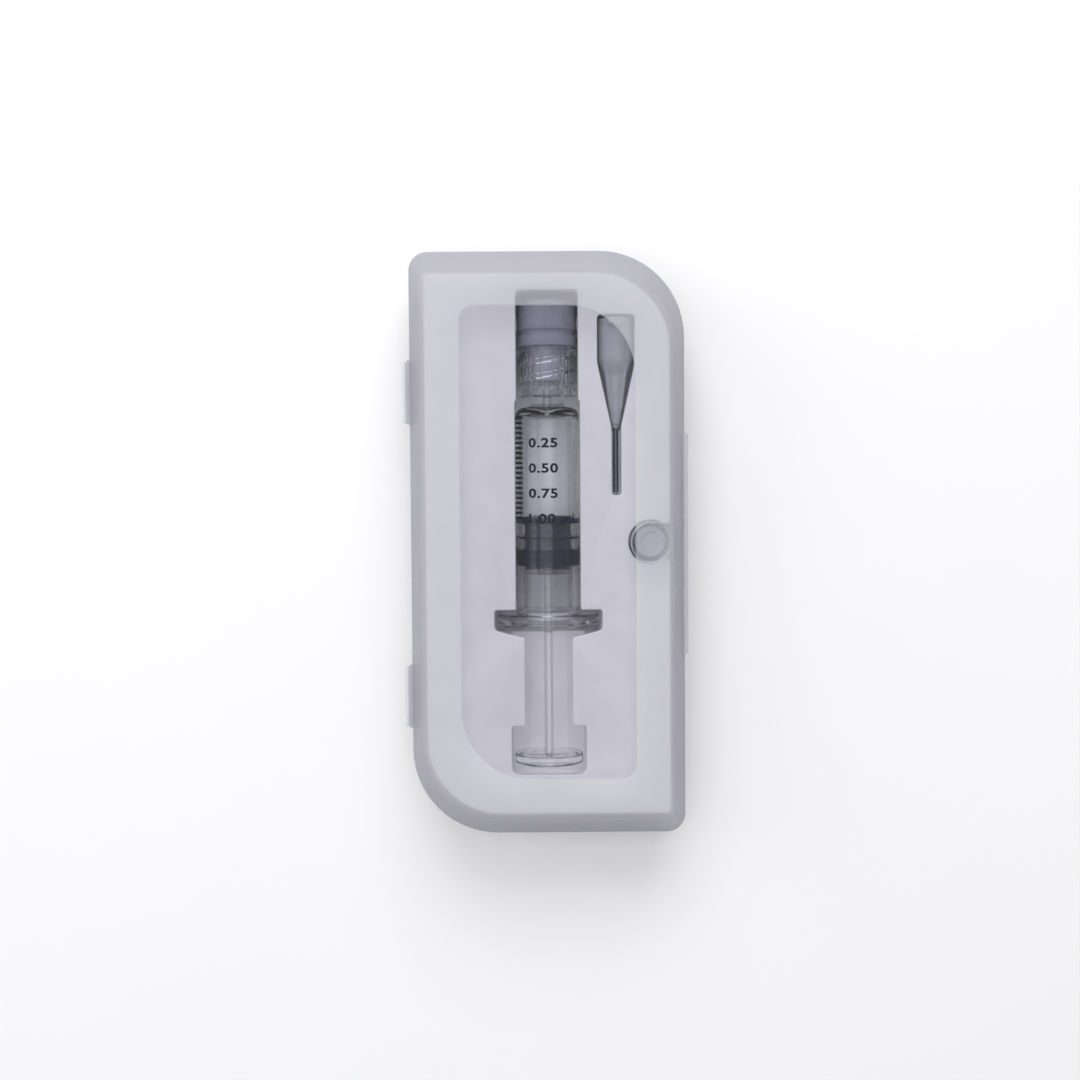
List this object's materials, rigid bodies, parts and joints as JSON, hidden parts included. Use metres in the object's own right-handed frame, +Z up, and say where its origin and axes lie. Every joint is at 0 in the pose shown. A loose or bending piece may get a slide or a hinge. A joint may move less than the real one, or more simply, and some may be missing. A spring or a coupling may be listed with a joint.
{
  "type": "syringe and needle in a hinged case",
  "caption": "Small glass luer-lock syringe with plunger, rubber tip cap and short blunt needle, held in a white insert inside a frosted hinged case.",
  "frame": {"origin": "middle of the case's underside, between the two long walls and the two ends", "axes": "+Z up out of the closed case, +Y along the case toward the capped end of the syringe, +X toward the opening edge"},
  "size_m": [0.0486, 0.1, 0.021],
  "materials": {
    "frosted_base": "frosted translucent polypropylene",
    "frosted_lid": "frosted translucent polypropylene, clearer in the window",
    "hinge_web": "thin folded polypropylene",
    "white_insert": "matt white",
    "clear_glass": "clear polished glass",
    "clear_collar": "clear polycarbonate",
    "grey_rubber": "matt grey rubber",
    "dark_rubber": "siliconed dark grey rubber",
    "clear_rod": "clear polystyrene",
    "smoky_hub": "translucent grey",
    "needle_steel": "drawn stainless steel",
    "clear_glue": "clear cured adhesive",
    "navy_print": "dark blue ceramic ink"
  },
  "bodies": {
    "case_and_syringe": {"case_base": "frosted_base", "upper_hinge_web": "hinge_web", "lower_hinge_web": "hinge_web", "insert": "white_insert", "barrel": "clear_glass", "luer_lock_collar": "clear_collar", "scale_ticks": "navy_print", "needle_hub": "smoky_hub", "cannula": "needle_steel", "cannula_glue": "clear_glue"},
    "lid": {"case_lid": "frosted_lid"},
    "cap": {"tip_cap": "grey_rubber"},
    "stopper": {"stopper": "dark_rubber"},
    "rod": {"plunger_rod": "clear_rod"}
  },
  "joints": [
    {"name": "lid_hinge", "type": "hinge", "parent": "case_and_syringe", "child": "lid", "pos_m": [-0.0244, 0, 0.0105], "axis": [0, -1, 0], "range_deg": [0, 180]},
    {"name": "cap_turn", "type": "hinge", "parent": "case_and_syringe", "child": "cap", "pos_m": [0, 0.04, 0.0105], "axis": [0, 1, 0], "range_deg": [0, 90]},
    {"name": "plunger_slide", "type": "slide", "parent": "case_and_syringe", "child": "stopper", "axis": [0, 1, 0], "range_m": [0, 0.017]},
    {"name": "rod_turn", "type": "hinge", "parent": "stopper", "child": "rod", "pos_m": [0, -0.02, 0.0105], "axis": [0, -1, 0], "range_deg": [0, 270]}
  ]
}
